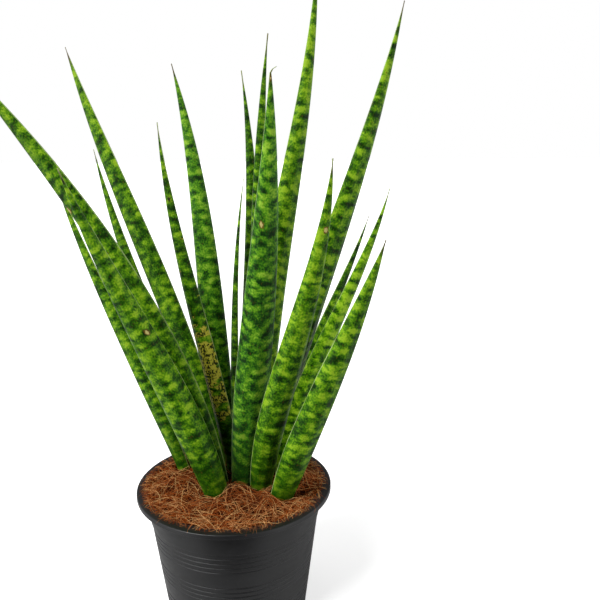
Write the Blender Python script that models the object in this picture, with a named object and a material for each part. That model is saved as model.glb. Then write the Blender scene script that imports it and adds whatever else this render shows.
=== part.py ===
"""Potted snake plant: spear leaves standing in coconut coir, in a ribbed nursery pot.

The origin is the middle of the pot's flat underside, +Z is up and lengths are in metres.
Each leaf is one closed solid that runs down through the coir to the rhizome below it.
"""

import math
from dataclasses import dataclass

import bmesh
import bpy
from mathutils import Vector

MM = 0.001
GAP = 0.3 * MM  # left between pieces that touch

# Pot
POT_HEIGHT = 140 * MM
BASE_RADIUS = 72.5 * MM  # outer edge of the underside
RIM_RADIUS = 100 * MM  # outer edge of the lip
LIP_OVERHANG = 9.5 * MM  # from the wall's outer face to the lip's edge
LIP_THICKNESS = 2 * MM
LIP_SKIRT = 4.5 * MM  # height of the lip's turned-down edge
POT_WALL = 2 * MM
POT_FLOOR = 3 * MM
EDGE_ROUND = 0.8 * MM  # broken edges of the lip and the foot
COLLAR_HEIGHT = 29 * MM  # smooth band under the rim
COLLAR_STEP = 0.8 * MM  # how far the band stands proud
FOOT_BAND = 20 * MM  # plain wall left between the underside and the lowest groove
BAND_PITCH = 34 * MM  # from one group of grooves to the next
GROOVES_PER_BAND = 4
GROOVE_PITCH = 5.2 * MM
GROOVE_WIDTH = 1.8 * MM
GROOVE_DEPTH = 0.6 * MM
POT_SEGMENTS = 48  # also of what lies against the wall, so that the facets match

# Drainage
NOTCH_COUNT = 8
NOTCH_WIDTH = 12 * MM
NOTCH_HEIGHT = 5 * MM
NOTCH_DEPTH = 7 * MM  # how far a notch reaches in under the wall
DRAIN_COUNT = 4
DRAIN_RADIUS = 4 * MM
DRAIN_CIRCLE = 40 * MM  # radius of the circle the drain holes stand on
DRAIN_SEGMENTS = 16

# Growing medium and rhizome
MIX_DEPTH = 32 * MM  # from the rim down to the potting mix
MIX_TOP = POT_HEIGHT - MIX_DEPTH
COIR_DROP = 1.5 * MM  # from the rim down to the coir where it meets the pot
COIR_EDGE = POT_HEIGHT - COIR_DROP
COIR_CROWN = 5 * MM  # how much higher the middle lies
COIR_RINGS = 7
RHIZOME_RADIUS = 9 * MM
RHIZOME_SWELL = 2 * MM  # extra radius under each shoot
RHIZOME_TAPER = 0.55  # radius of its cut ends, as a share of the radius
RHIZOME_SIDES = 12
SOCKET_CLEARANCE = 0.4 * MM  # between a leaf or the rhizome and what it grows through

# The plant is laid out in leaf units, so that its clump fits whatever pot it stands in
LEAF_UNIT = (RIM_RADIUS - LIP_OVERHANG - POT_WALL) / 88.5  # 1 mm in a pot 88.5 mm in inner radius
RHIZOME_PATH = ((-50, 34), (-28, 40), (-2, 30), (26, 24), (50, 18))  # x, y in leaf units

# Leaves
LEAF_STATIONS = 15
BACK_POINTS = 7  # outline points over the rounded back, margins included
CHANNEL_POINTS = 5  # outline points in the channel, from margin to margin
MARGIN_SHARE = 0.045  # thickness of each blunt margin, as a share of the width
LEAF_FOOT = MIX_TOP + RHIZOME_RADIUS + RHIZOME_SWELL + GAP  # leaves are cut level here
FOOT_SHARE = 0.68  # width at the foot, as a share of the greatest width
WIDEST_AT = 0.30  # share of the length below the widest place
BACK_DEPTH = 0.42  # depth of the rounded back, as a share of the width
CHANNEL_DEPTH = 0.20  # depth of the channel at the foot, as a share of the width
TIP_WIDTH = 1.2 * MM
TANGENT_STEP = 0.001  # share of the length over which a leaf's direction is taken

LEAF_GREEN = (0.10, 0.24, 0.03)
YELLOW_GREEN = (0.30, 0.30, 0.04)
PALE_GREEN = (0.22, 0.42, 0.05)
POT_BLACK = (0.025, 0.025, 0.027)
COIR_BROWN = (0.42, 0.17, 0.05)
MIX_BROWN = (0.12, 0.06, 0.03)
RHIZOME_TAN = (0.55, 0.40, 0.18)


@dataclass(frozen=True)
class Leaf:
    """One leaf, in leaf units and degrees.

    The middle line starts at foot, ends at tip, and leaves the straight line between them by low
    at a third of its length and by high at two thirds. back is the compass direction, from +X
    towards +Y, that the rounded back faces. fullness above 1 keeps the leaf broad for longer.
    """

    name: str
    foot: tuple[float, float]
    tip: tuple[float, float, float]  # x, y and the height above the rim
    low: tuple[float, float]  # x, z
    high: tuple[float, float]  # x, z
    width: float
    back: float
    fullness: float = 1.15
    colour: tuple[float, float, float] = LEAF_GREEN


LEAVES = (
    Leaf("leaf_left_long", (-13, 5), (-225, -30, 418), (26, 16), (18, 20), 37, 215, fullness=2.5),
    Leaf("leaf_left_outer", (-51, 29), (-185, 60, 325), (0, 0), (-4, 0), 26, 215, fullness=1.5),
    Leaf("leaf_left_front", (-12, -24), (-128, -80, 324), (7, 0), (1, 2), 32, 262, fullness=1.5),
    Leaf("leaf_left_tall", (-18, 42), (-177, 110, 446), (12, 0), (5, 0), 36, 215, fullness=2.4),
    Leaf("leaf_left_small", (-36, 60), (-152, 100, 340), (-2, 0), (-5, 0), 27, 215, fullness=1.9),
    Leaf(
        "leaf_yellow_marked", (-1, 23), (-60, -5, 363), (1, 0), (-4, 0), 23, 230,
        fullness=1.8, colour=YELLOW_GREEN,
    ),
    Leaf("leaf_back_left", (-13, 74), (-69, 130, 431), (3, 0), (8, 0), 31, 250, fullness=1.9),
    Leaf("leaf_centre_slim", (-4, 55), (11, 90, 313), (-4, 0), (-6, 0), 16, 200, fullness=1.5),
    Leaf("leaf_back_centre", (12, 73), (9, 110, 421), (4, 0), (8, 0), 27, 260, fullness=1.3),
    Leaf("leaf_middle_slim", (19, 43), (42, 20, 443), (0, 0), (-4, 0), 21, 280, fullness=1.7),
    Leaf("leaf_centre_front", (9, -3), (47, -60, 407), (2, 0), (5, 0), 34, 285, fullness=1.85),
    Leaf("leaf_tallest", (25, 59), (90, 90, 528), (-11, 0), (0, 0), 34, 300, fullness=1.4),
    Leaf("leaf_right_tall", (26, 27), (165, 0, 466), (-5, 0), (2, 0), 34, 320, fullness=1.9),
    Leaf("leaf_right_front", (27, -10), (97, -90, 330), (-4, 0), (4, 0), 29, 290, fullness=1.7),
    Leaf("leaf_right_back", (50, 46), (146, 90, 268), (-15, 0), (-8, 0), 25, 330, fullness=1.5),
    Leaf(
        "leaf_right_pale", (50, 12), (157, 10, 301), (-15, 0), (-5, 0), 27, 320,
        fullness=1.6, colour=PALE_GREEN,
    ),
    Leaf("leaf_right_low", (45, -27), (141, -90, 264), (-2, 0), (1, 0), 32, 300, fullness=1.9),
)

# Heaps and hollows of the coir: x, y, spread and height in leaf units
COIR_MOUNDS = (
    (4, -30, 15, 6),
    (38, -46, 15, 5),
    (76, 8, 20, 3),
    (-60, -20, 20, 2),
    (-40, -4, 12, -4),
    (66, -26, 12, -3),
)


def material(name, colour, roughness):
    """A Principled material with one base colour."""
    made = bpy.data.materials.new(name)
    made.use_nodes = True
    shader = made.node_tree.nodes["Principled BSDF"]
    shader.inputs["Base Color"].default_value = (*colour, 1)
    shader.inputs["Roughness"].default_value = roughness
    shader.inputs["Metallic"].default_value = 0
    made.diffuse_color = (*colour, 1)
    return made


def add_object(name, bm, finish, smooth_angle=40):
    """Put the mesh in the scene as one named object."""
    bmesh.ops.recalc_face_normals(bm, faces=bm.faces)
    mesh = bpy.data.meshes.new(name)
    bm.to_mesh(mesh)
    bm.free()
    mesh.shade_smooth()
    mesh.set_sharp_from_angle(angle=math.radians(smooth_angle))
    made = bpy.data.objects.new(name, mesh)
    bpy.context.scene.collection.objects.link(made)
    if finish is not None:
        mesh.materials.append(finish)
    return made


def lofted(rings):
    """A closed mesh through rings of equally many points, with a flat face over each end.

    Every four-sided face is split along the same diagonal, so that a piece and the socket grown
    from it keep their clearance all over.
    """
    bm = bmesh.new()
    loops = [[bm.verts.new(point) for point in ring] for ring in rings]
    for lower, upper in zip(loops, loops[1:]):
        for index, vert in enumerate(lower):
            after = (index + 1) % len(lower)
            bm.faces.new((vert, lower[after], upper[after]))
            bm.faces.new((vert, upper[after], upper[index]))
    bm.faces.new(loops[0])
    bm.faces.new(loops[-1])
    return bm


def turned(profile, segments):
    """A solid turned about Z from (radius, height) points, with flat ends across the axis."""
    rings = []
    for radius, height in profile:
        angles = [math.tau * step / segments for step in range(segments)]
        rings.append([(radius * math.cos(a), radius * math.sin(a), height) for a in angles])
    return lofted(rings)


def as_cutter(cutter):
    """Hide an object that only cuts."""
    cutter.hide_render = True
    cutter.display_type = "WIRE"
    return cutter


def cut(target, cutters, name):
    """Take every cutter away from the target."""
    group = bpy.data.collections.new(name)
    bpy.context.scene.collection.children.link(group)
    for cutter in cutters:
        bpy.context.scene.collection.objects.unlink(cutter)
        group.objects.link(as_cutter(cutter))
    boolean = target.modifiers.new(name, "BOOLEAN")
    boolean.operation = "DIFFERENCE"
    boolean.solver = "EXACT"
    boolean.operand_type = "COLLECTION"
    boolean.collection = group


# ---------------------------------------------------------------- pot


def wall_outside(height):
    """Radius of the plain wall's outer face."""
    top = RIM_RADIUS - LIP_OVERHANG
    return BASE_RADIUS + (top - BASE_RADIUS) * height / POT_HEIGHT


def wall_inside(height):
    """Radius of the wall's inner face."""
    return wall_outside(height) - POT_WALL


def groove_heights():
    """Middle heights of the wall's grooves, from the lowest up, in as many groups as fit."""
    top = POT_HEIGHT - COLLAR_HEIGHT - GROOVE_PITCH
    room = top - FOOT_BAND - (GROOVES_PER_BAND - 1) * GROOVE_PITCH
    heights = []
    for band in range(1 + int(room / BAND_PITCH)):
        for groove in range(GROOVES_PER_BAND):
            heights.append(top - band * BAND_PITCH - groove * GROOVE_PITCH)
    return sorted(heights)


def pot_profile():
    """Half section of the pot, from the edge of its underside over the lip to the edge of its floor."""
    profile = [(BASE_RADIUS - EDGE_ROUND, 0), (wall_outside(EDGE_ROUND), EDGE_ROUND)]
    for height in groove_heights():
        for offset, depth in ((-GROOVE_WIDTH / 2, 0), (0, GROOVE_DEPTH), (GROOVE_WIDTH / 2, 0)):
            profile.append((wall_outside(height + offset) - depth, height + offset))
    collar = POT_HEIGHT - COLLAR_HEIGHT
    under_lip = POT_HEIGHT - LIP_THICKNESS
    skirt = POT_HEIGHT - LIP_SKIRT
    profile += [
        (wall_outside(collar), collar),
        (wall_outside(collar) + COLLAR_STEP, collar + COLLAR_STEP),
        (wall_outside(under_lip) + COLLAR_STEP, under_lip),
        (RIM_RADIUS - LIP_THICKNESS, under_lip),
        (RIM_RADIUS - LIP_THICKNESS, skirt),
        (RIM_RADIUS - EDGE_ROUND / 2, skirt),
        (RIM_RADIUS, skirt + EDGE_ROUND / 2),
        (RIM_RADIUS, POT_HEIGHT - EDGE_ROUND),
        (RIM_RADIUS - EDGE_ROUND, POT_HEIGHT),
        (wall_inside(POT_HEIGHT), POT_HEIGHT),
        (wall_inside(POT_FLOOR), POT_FLOOR),
    ]
    return profile


def drain_cutter():
    """Notches round the foot and holes through the floor, as one cutter."""
    bm = bmesh.new()
    for index in range(NOTCH_COUNT):
        angle = math.tau * (index + 0.5) / NOTCH_COUNT
        reach = NOTCH_DEPTH + GAP
        middle = BASE_RADIUS - NOTCH_DEPTH + reach
        made = bmesh.ops.create_cube(bm, size=1)["verts"]
        for vert in made:
            along = middle + vert.co.x * 2 * reach
            across = vert.co.y * NOTCH_WIDTH
            height = vert.co.z * 2 * NOTCH_HEIGHT
            x = along * math.cos(angle) - across * math.sin(angle)
            y = along * math.sin(angle) + across * math.cos(angle)
            vert.co = (x, y, height)
    for index in range(DRAIN_COUNT):
        angle = math.tau * index / DRAIN_COUNT
        made = bmesh.ops.create_cone(
            bm,
            cap_ends=True,
            segments=DRAIN_SEGMENTS,
            radius1=DRAIN_RADIUS,
            radius2=DRAIN_RADIUS,
            depth=4 * POT_FLOOR,
        )["verts"]
        shift = (DRAIN_CIRCLE * math.cos(angle), DRAIN_CIRCLE * math.sin(angle), POT_FLOOR / 2)
        bmesh.ops.translate(bm, verts=made, vec=shift)
    return add_object("drain_cutter", bm, None)


def build_pot():
    """The pot: a turned shell with a lip, a smooth collar, grooves and drainage."""
    pot = add_object("pot", turned(pot_profile(), POT_SEGMENTS), material("black_plastic", POT_BLACK, 0.35))
    cut(pot, [drain_cutter()], "drainage")


# ---------------------------------------------------------------- leaves


def leaf_line(leaf, share):
    """Point of the leaf's middle line at a share of its length."""
    foot = Vector((leaf.foot[0] * LEAF_UNIT, leaf.foot[1] * LEAF_UNIT, LEAF_FOOT))
    tip = Vector((0, 0, POT_HEIGHT)) + Vector(leaf.tip) * LEAF_UNIT
    low = Vector((leaf.low[0], 0, leaf.low[1])) * LEAF_UNIT
    high = Vector((leaf.high[0], 0, leaf.high[1])) * LEAF_UNIT
    at_low = 13.5 * share * (share - 2 / 3) * (share - 1)
    at_high = -13.5 * share * (share - 1 / 3) * (share - 1)
    return foot.lerp(tip, share) + low * at_low + high * at_high


def leaf_width(leaf, share):
    """Width between the margins at a share of the length."""
    if share < WIDEST_AT:
        part = FOOT_SHARE + (1 - FOOT_SHARE) * math.sin(share / WIDEST_AT * math.pi / 2)
    else:
        part = 1 - ((share - WIDEST_AT) / (1 - WIDEST_AT)) ** leaf.fullness
    return max(leaf.width * LEAF_UNIT * part, TIP_WIDTH)


def leaf_outline(width, share, clearance):
    """Outline across the leaf as (side, back) points: over the back, then along the channel."""
    depth = BACK_DEPTH * width
    channel = CHANNEL_DEPTH * width * (1 - 0.9 * share**1.5)
    points = []
    for step in range(BACK_POINTS):
        angle = math.pi * step / (BACK_POINTS - 1)
        points.append((width / 2 * math.cos(angle), depth * math.sin(angle)))
    opening = width * (0.5 - MARGIN_SHARE)
    for step in range(CHANNEL_POINTS):
        angle = math.pi * (1 - step / (CHANNEL_POINTS - 1))
        points.append((opening * math.cos(angle), channel * math.sin(angle)))
    return grown([(side, back - depth / 4) for side, back in points], clearance)


def grown(outline, clearance):
    """The outline with each of its edges moved outwards by the clearance."""
    moved = []
    for index, point in enumerate(outline):
        here = Vector(point)
        before = (here - Vector(outline[index - 1])).normalized()
        after = (Vector(outline[(index + 1) % len(outline)]) - here).normalized()
        corner = Vector((before.y + after.y, -before.x - after.x))
        moved.append(here + corner * clearance / (1 + before.dot(after)))
    return moved


def leaf_rings(leaf, clearance=0.0):
    """Rings of points up the leaf from its level foot, with a clearance all round for its socket."""
    rings = []
    facing = Vector((math.cos(math.radians(leaf.back)), math.sin(math.radians(leaf.back)), 0))
    for station in range(LEAF_STATIONS):
        share = station / (LEAF_STATIONS - 1)
        ahead = leaf_line(leaf, share + TANGENT_STEP)
        behind = leaf_line(leaf, share - TANGENT_STEP)
        along = (ahead - behind).normalized()
        back = (facing - along * facing.dot(along)).normalized()
        side = along.cross(back)
        middle = leaf_line(leaf, share)
        outline = leaf_outline(leaf_width(leaf, share), share, clearance)
        ring = [middle + side * x + back * y for x, y in outline]
        if station == 0:
            level = LEAF_FOOT - clearance
            ring = [point + along * (level - point.z) / along.z for point in ring]
        rings.append(ring)
    return rings


def build_leaves():
    """All leaves, each a closed channelled spear."""
    finishes = {}
    for leaf in LEAVES:
        if leaf.colour not in finishes:
            finishes[leaf.colour] = material(f"leaf_{len(finishes)}", leaf.colour, 0.4)
        add_object(leaf.name, lofted(leaf_rings(leaf)), finishes[leaf.colour], smooth_angle=60)


# ---------------------------------------------------------------- growing medium


def rhizome_rings(clearance=0.0):
    """Rings along the rhizome, which swells under each of its shoots and tapers at its ends."""
    places = [Vector((x * LEAF_UNIT, y * LEAF_UNIT, MIX_TOP)) for x, y in RHIZOME_PATH]
    last = len(places) - 1
    rings = []
    for index, place in enumerate(places):
        along = (places[min(index + 1, last)] - places[max(index - 1, 0)]).normalized()
        side = Vector((-along.y, along.x, 0))
        swell = RHIZOME_SWELL if index % 2 else 0
        shares = [RHIZOME_TAPER, 1] if index == 0 else [1, RHIZOME_TAPER] if index == last else [1]
        for share in shares:
            radius = (RHIZOME_RADIUS + swell) * share + clearance
            end = (1 - share) * RHIZOME_RADIUS + (clearance if share < 1 else 0)
            middle = place + along * (end if index == last else -end)
            angles = [math.tau * step / RHIZOME_SIDES for step in range(RHIZOME_SIDES)]
            ring = [
                middle + side * radius * math.cos(a) + Vector((0, 0, radius * math.sin(a)))
                for a in angles
            ]
            rings.append(ring)
    return rings


def coir_height(x, y):
    """Height of the coir's surface at a place in the pot."""
    edge = wall_inside(COIR_EDGE)
    height = COIR_EDGE + COIR_CROWN * (1 - (x * x + y * y) / edge**2)
    fade = max(0.0, 1 - math.hypot(x, y) / edge)
    for mound_x, mound_y, spread, lift in COIR_MOUNDS:
        away = math.hypot(x - mound_x * LEAF_UNIT, y - mound_y * LEAF_UNIT) / (spread * LEAF_UNIT)
        height += lift * LEAF_UNIT * math.exp(-away * away) * min(1.0, fade * 6)
    return height


def coir_mesh():
    """The coir: flat below, held by the wall at its side and heaped on top."""
    bottom = MIX_TOP + GAP
    angles = [math.tau * step / POT_SEGMENTS for step in range(POT_SEGMENTS)]
    rings = []
    for radius, height in ((wall_inside(bottom) - GAP, bottom), (wall_inside(COIR_EDGE) - GAP, COIR_EDGE)):
        rings.append([(radius * math.cos(a), radius * math.sin(a), height) for a in angles])
    edge = wall_inside(COIR_EDGE) - GAP
    for ring in range(1, COIR_RINGS):
        radius = edge * (1 - ring / COIR_RINGS)
        places = [(radius * math.cos(a), radius * math.sin(a)) for a in angles]
        rings.append([(x, y, coir_height(x, y)) for x, y in places])
    return lofted(rings)


def build_medium():
    """Potting mix, rhizome and coir, one above the other."""
    low = POT_FLOOR + GAP
    profile = [(wall_inside(low) - GAP, low), (wall_inside(MIX_TOP) - GAP, MIX_TOP)]
    mix = add_object("potting_mix", turned(profile, POT_SEGMENTS), material("mix", MIX_BROWN, 0.95))
    coir = add_object("coir_mulch", coir_mesh(), material("coir", COIR_BROWN, 0.9), smooth_angle=60)
    add_object("rhizome", lofted(rhizome_rings()), material("rhizome", RHIZOME_TAN, 0.6))
    below = add_object("rhizome_cutter_mix", lofted(rhizome_rings(SOCKET_CLEARANCE)), None)
    above = add_object("rhizome_cutter_coir", lofted(rhizome_rings(SOCKET_CLEARANCE)), None)
    sockets = []
    for leaf in LEAVES:
        sockets.append(add_object(f"socket_{leaf.name}", lofted(leaf_rings(leaf, SOCKET_CLEARANCE)), None))
    cut(mix, [below], "rhizome_bed")
    cut(coir, [above, *sockets], "sockets")


def main():
    """Clear the scene and build the plant."""
    for old in list(bpy.data.objects):
        bpy.data.objects.remove(old, do_unlink=True)
    build_pot()
    build_medium()
    build_leaves()


if __name__ == "__main__":
    main()
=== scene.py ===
"""The looks of a potted snake plant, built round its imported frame.

Lengths are in metres, unless a name or a comment says millimetres. The pot stands on the floor at
z = 0 with its axis at x = y = 0, and the camera looks along +Y.
"""

import logging
from dataclasses import dataclass
from enum import Enum
from functools import cache, partial
from math import cos, exp, hypot, pi, radians, sin, tau

import bmesh
import bpy
import numpy as np
from mathutils import Matrix, Vector


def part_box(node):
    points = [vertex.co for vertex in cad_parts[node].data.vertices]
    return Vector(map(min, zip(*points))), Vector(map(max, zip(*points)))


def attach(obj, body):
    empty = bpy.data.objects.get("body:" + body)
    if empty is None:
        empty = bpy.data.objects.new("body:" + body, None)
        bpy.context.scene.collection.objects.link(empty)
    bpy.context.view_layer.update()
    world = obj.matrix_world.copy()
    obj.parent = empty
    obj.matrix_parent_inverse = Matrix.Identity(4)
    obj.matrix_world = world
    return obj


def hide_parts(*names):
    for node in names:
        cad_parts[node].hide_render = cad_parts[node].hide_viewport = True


MM = 0.001

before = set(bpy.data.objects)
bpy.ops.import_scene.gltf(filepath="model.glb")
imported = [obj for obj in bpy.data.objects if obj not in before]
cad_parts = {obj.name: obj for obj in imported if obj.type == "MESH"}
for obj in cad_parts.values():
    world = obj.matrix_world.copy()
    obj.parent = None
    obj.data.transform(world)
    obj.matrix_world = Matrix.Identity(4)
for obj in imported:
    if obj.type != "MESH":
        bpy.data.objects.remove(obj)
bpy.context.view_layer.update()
RIM_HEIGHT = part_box("pot")[1].z / MM
RIM_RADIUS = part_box("pot")[1].x / MM

LOG = logging.getLogger("snake_plant")
BODY = "root"

Colour = tuple[float, float, float, float]
Faces = list[tuple[int, ...]]
Material = bpy.types.Material
Tree = bpy.types.NodeTree
Node = bpy.types.Node
Socket = bpy.types.NodeSocket


# Shared tools


def linear(hex_colour: str) -> Colour:
    """Turn an sRGB hex colour into linear light.

    Args:
        hex_colour: Six hex digits after a hash sign.

    Returns:
        Linear red, green and blue, and an alpha of 1.
    """
    channels = [int(hex_colour[at : at + 2], 16) / 255 for at in (1, 3, 5)]
    lit = [c / 12.92 if c <= 0.04045 else ((c + 0.055) / 1.055) ** 2.4 for c in channels]
    return (*lit, 1.0)


def fill(tree: Tree, node: Node, inputs: dict[str, object]) -> None:
    """Fill the inputs of a node.

    Args:
        tree: The tree the node is in.
        node: The node.
        inputs: What each named input gets: a plain value, a socket, or a node whose first live output
            is linked.
    """
    for name, value in inputs.items():
        if isinstance(value, Node):
            value = next(output for output in value.outputs if output.enabled)
        if isinstance(value, Socket):
            tree.links.new(value, node.inputs[name])
        else:
            node.inputs[name].default_value = value


def add_node(
    tree: Tree,
    kind: str,
    *terms: object,
    inputs: dict[str, object] | None = None,
    **settings: object,
) -> Node:
    """Add a node with its settings and links.

    Args:
        tree: The material's node tree.
        kind: The node's type name without its ShaderNode prefix.
        *terms: What its live inputs get, in their order.
        inputs: What its inputs get, by name.
        **settings: The node's own properties, such as its operation.

    Returns:
        The new node.
    """
    made = tree.nodes.new(f"ShaderNode{kind}")
    for name, value in settings.items():
        setattr(made, name, value)
    live = [place for place, socket in enumerate(made.inputs) if socket.enabled]
    fill(tree, made, dict(zip(live, terms)) | (inputs or {}))
    return made


def new_material(name: str) -> tuple[Material, Tree, Node]:
    """Start a material.

    Args:
        name: The finish's own name.

    Returns:
        The material, its node tree and its Principled shader.
    """
    made = bpy.data.materials.new(name)
    made.use_nodes = True
    return made, made.node_tree, made.node_tree.nodes["Principled BSDF"]


def clouds(tree: Tree, place: Socket, size: tuple[float, float, float], detail: float = 2.0) -> Node:
    """Cloudy growth or wear with patches of a given size.

    Args:
        tree: The material's node tree.
        place: Where the pattern is read.
        size: Length of a patch along each axis, in the unit of place.
        detail: How many finer layers lie over the first.

    Returns:
        The pattern, 0 on average and seldom beyond 0.3 either way.
    """
    pressed = add_node(tree, "VectorMath", place, tuple(1 / length for length in size), operation="MULTIPLY")
    noise = add_node(tree, "TexNoise", inputs={"Vector": pressed, "Scale": 1.0, "Detail": detail})
    return add_node(tree, "Math", noise, 0.5, operation="SUBTRACT")


def add_piece(
    name: str,
    points: np.ndarray,
    faces: Faces,
    finish: Material,
) -> bpy.types.Object:
    """Make one smooth-shaded piece that rides on the plant's body.

    Args:
        name: The piece's name.
        points: Its vertices.
        faces: Its faces, as vertex indices.
        finish: Its material.

    Returns:
        The new object.
    """
    mesh = bpy.data.meshes.new(name)
    mesh.from_pydata(points.tolist(), [], faces)
    mesh.materials.append(finish)
    mesh.shade_smooth()
    made = bpy.data.objects.new(name, mesh)
    bpy.context.scene.collection.objects.link(made)
    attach(made, BODY)
    LOG.info("%s: %d faces", name, len(faces))
    return made


def add_marks(piece: bpy.types.Object, name: str, marks: np.ndarray) -> None:
    """Store a row of three numbers at each vertex, for the piece's finish to read."""
    stored = piece.data.attributes.new(name, "FLOAT_VECTOR", "POINT")
    stored.data.foreach_set("vector", marks.astype(np.float32).ravel())


def ring_faces(rings: int, around: int) -> Faces:
    """Faces of a skin through rings of equally many points, closed at both ends.

    Args:
        rings: How many rings there are.
        around: How many points each has.

    Returns:
        The faces, with their normals outwards where the rings run anticlockwise from below to above.
    """
    faces = []
    for ring in range(rings - 1):
        for at in range(around):
            after = (at + 1) % around
            low = ring * around
            faces.append((low + at, low + after, low + around + after, low + around + at))
    faces.append(tuple(reversed(range(around))))
    faces.append(tuple(range((rings - 1) * around, rings * around)))
    return faces


# Leaves


class Skin(Enum):
    """How a leaf is marked."""

    BANDED = "banded"
    BRIGHT = "bright"
    DUSKY = "dusky"
    GLAUCOUS = "glaucous"
    PLAIN = "plain"
    YELLOWED = "yellowed"


@dataclass(frozen=True)
class LeafSkin:
    """Living succulent leaf under a wax cuticle, as it grew.

    The wax gives a soft satin gloss. Under it the flesh is blotched light and dark green in ragged
    cross-bands, the hard margins stay pale, and the foot of the leaf is a plain deep green, partly
    its own colour and partly painted shade where the leaves crowd into the coir.
    Patches are sized in millimetres across and along the leaf.
    """

    name: str
    slot: str = "leaf"
    tones: tuple[str, ...] = ("#0d2e01", "#234f03", "#42740a", "#679810", "#90b824")
    lift: float = 0.0  # how much lighter the whole leaf is
    bands: float = 0.22  # how strongly the cross-bands show
    yellow: bool = False
    bloom: float = 0.0  # how much of the blue-white wax dust is left

    # Deep green of the foot, partly its own colour and partly painted shade among the crowded leaves
    FOOT = "#123f05"
    MARGIN = "#b8ce88"
    MUSTARD = "#c2bc40"
    SPECKLE = "#27300b"
    SCAR = "#c8bc74"
    RUST = "#6a4a18"
    DRIED = "#553a26"
    DUST = "#b4dcc8"
    DUST_ROUGHNESS = 0.4
    ROUGHNESS = (0.34, 0.50)
    WAX_IOR = 1.45
    WAX_SHINE = 0.14  # the bloom on the wax scatters part of its reflection
    MIDDLE_TONE = 0.34  # where a leaf without a lift has its dark bands
    SUNLIT = (0.35, 0.90, 0.0, 0.08)  # the upper leaf is lighter: from where, to where, from and to what
    SWAYS = (((30, 30, 1), 1.8), ((6, 10, 1), 1.0), ((1.5, 4, 1), 0.3))  # patches, and bands they shift
    BAND_EDGES = (-1.0, 0.3)  # of the wave that makes the bands
    BLOTCH = (10.0, 8.0)
    BLOTCH_RADIUS = 0.4  # in blotches
    BLOTCH_WEIGHT = 0.80
    CLOUDS = (((10, 8, 1), 1.0, 1.2), ((1.6, 2.0, 1), 3.0, 1.1), ((1000, 160, 9), 2.0, 0.4))
    FLECK = (1.3, 3.2, 1)
    FLECK_WEIGHT = 0.7
    CHANNEL_SHADE = -0.25
    MARGIN_WIDTH = (0.4, 0.9)  # millimetres from a margin's middle to where the pale line ends
    MARGIN_PATCH = (30, 60, 3)
    SCAR_DEPTHS = (0.05, 0.25)  # where its rusty rim and its corky middle start
    SCAR_EDGE = 0.15
    FOOT_FADE = (0.10, 0.26, 0.6, 0.0)  # from where, to where, from and to how much
    DRY_TIP = (0.955, 0.985)
    PATCH = (12, 9, 1)
    PATCH_SWAY = 4.2  # how far the patches stray
    PATCH_EDGES = (0.60, 0.85)
    SPECKLE_CLUSTER = (7, 9, 1)
    SPECKLE_SIZE = (1.6, 2.6, 1)
    SPECKLE_EDGES = (-0.01, 0.08)
    RIDGE = (0.9, 45, 1)
    RIDGE_DEPTH = 0.5  # millimetres

    def dress(self) -> Material:
        """Build the material.

        Returns:
            The finish for one kind of leaf.
        """
        made, tree, shader = new_material(self.name)
        add = partial(add_node, tree)
        skin = add("Attribute", attribute_name="skin").outputs["Vector"]
        growth = add("Attribute", attribute_name="growth").outputs["Vector"]
        marks = add("Attribute", attribute_name="marks").outputs["Vector"]
        share, edge, phase = add("SeparateXYZ", growth).outputs
        inside, scar, yellow = add("SeparateXYZ", marks).outputs
        tone = self._tone(tree, skin, phase, share)
        colour = add("ValToRGB", tone)
        stops = colour.color_ramp.elements
        for number, shade in enumerate(self.tones):
            stop = stops[0] if number == 0 else stops.new(number / len(self.tones))
            stop.color = linear(shade)
        stops.remove(stops[-1])
        colour = self._aged_and_foot_shade(tree, colour, skin, share, yellow)
        flecks = clouds(tree, skin, self.FLECK, 3.0)
        bright = add("Math", flecks, self.FLECK_WEIGHT, 1.0, operation="MULTIPLY_ADD")
        bright = add("Math", inside, self.CHANNEL_SHADE, bright, operation="MULTIPLY_ADD")
        colour = add("VectorMath", colour, bright, operation="SCALE")
        line = add("MapRange", edge, *self.MARGIN_WIDTH, 1.0, 0.0, interpolation_type="SMOOTHSTEP")
        fresh = add("MapRange", clouds(tree, skin, self.MARGIN_PATCH), -0.12, 0.20, 0.15, 1.0)
        line = add("Math", line, fresh, operation="MULTIPLY")
        colour = add("Mix", line, colour, linear(self.MARGIN), data_type="RGBA")
        worn = add("Math", flecks, 0.6, scar, operation="MULTIPLY_ADD")
        for start, shade in zip(self.SCAR_DEPTHS, (self.RUST, self.SCAR)):
            depth = add("MapRange", worn, start, start + self.SCAR_EDGE)
            colour = add("Mix", depth, colour, linear(shade), data_type="RGBA")
        fill(tree, shader, {"Base Color": colour, "IOR": self.WAX_IOR, "Specular IOR Level": self.WAX_SHINE})
        dust = {"Sheen Weight": self.bloom, "Sheen Roughness": self.DUST_ROUGHNESS}
        fill(tree, shader, dust | {"Sheen Tint": linear(self.DUST)})
        self._surface(tree, shader, skin, tone)
        return made

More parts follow.
